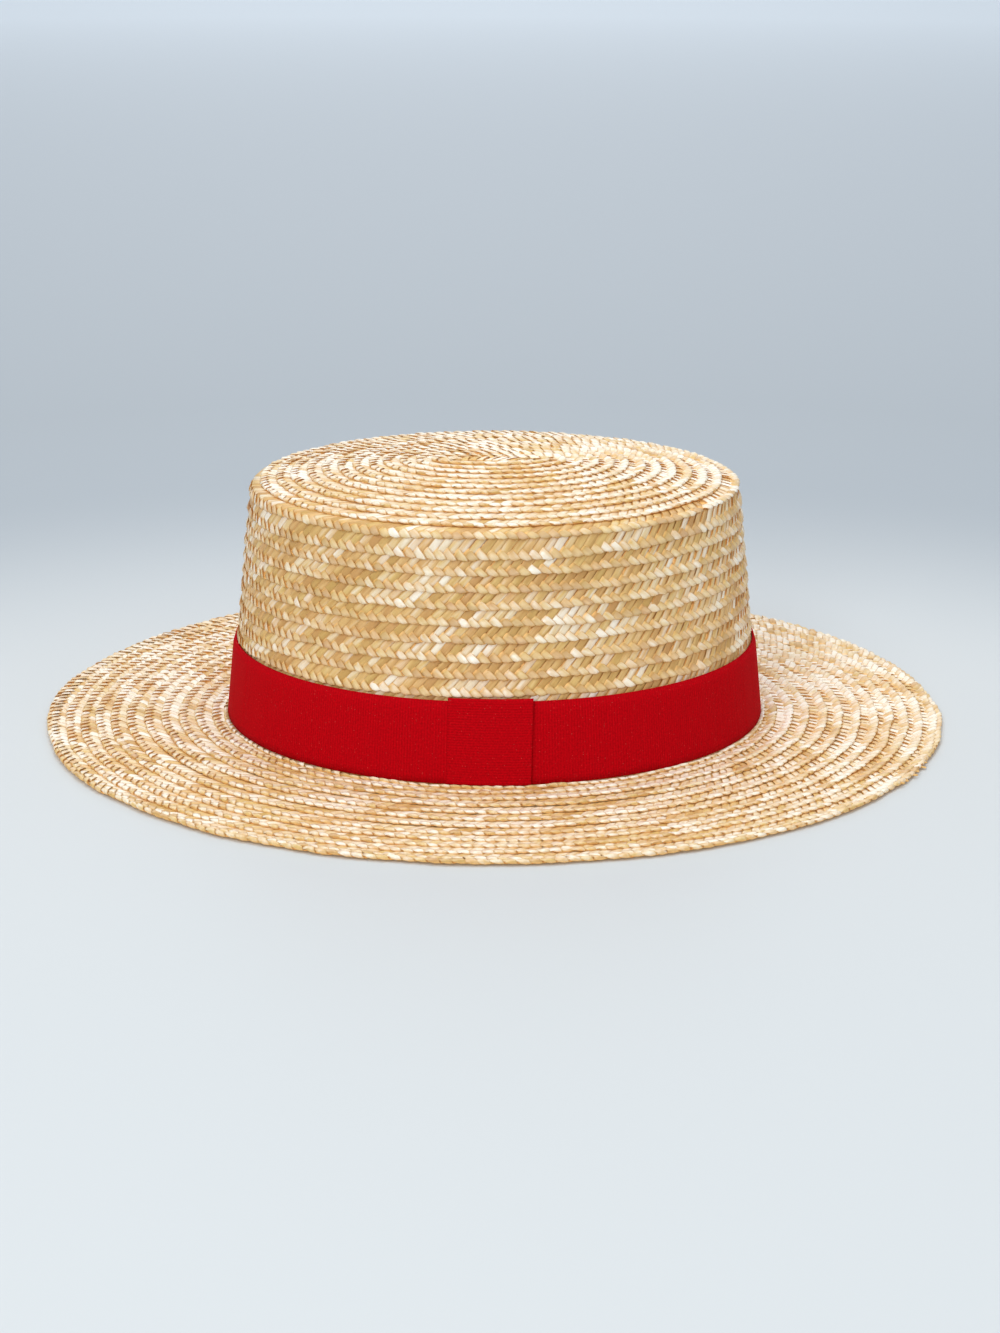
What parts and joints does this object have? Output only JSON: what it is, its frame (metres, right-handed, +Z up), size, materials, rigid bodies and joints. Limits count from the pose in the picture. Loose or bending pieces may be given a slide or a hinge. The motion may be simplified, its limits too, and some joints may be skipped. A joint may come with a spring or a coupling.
{
  "type": "straw boater hat",
  "caption": "Straw boater hat with a flat stiff brim, a low straight crown of sewn braid, and a ribbed ribbon band with a flat side tab.",
  "frame": {"origin": "on the surface that the brim lies on, under the middle of the hat", "axes": "+Z up through the tip; X runs front to back, with the wearer's front towards -X; the band's tab, on the wearer's left, faces -Y"},
  "size_m": [0.335, 0.307, 0.0982],
  "materials": {
    "straw": "glossy natural straw braid",
    "ribbon": "matt ribbed ribbon"
  },
  "bodies": {
    "root": {"crown": "straw", "brim": "straw", "hat_band": "ribbon", "band_tab": "ribbon"}
  },
  "joints": []
}
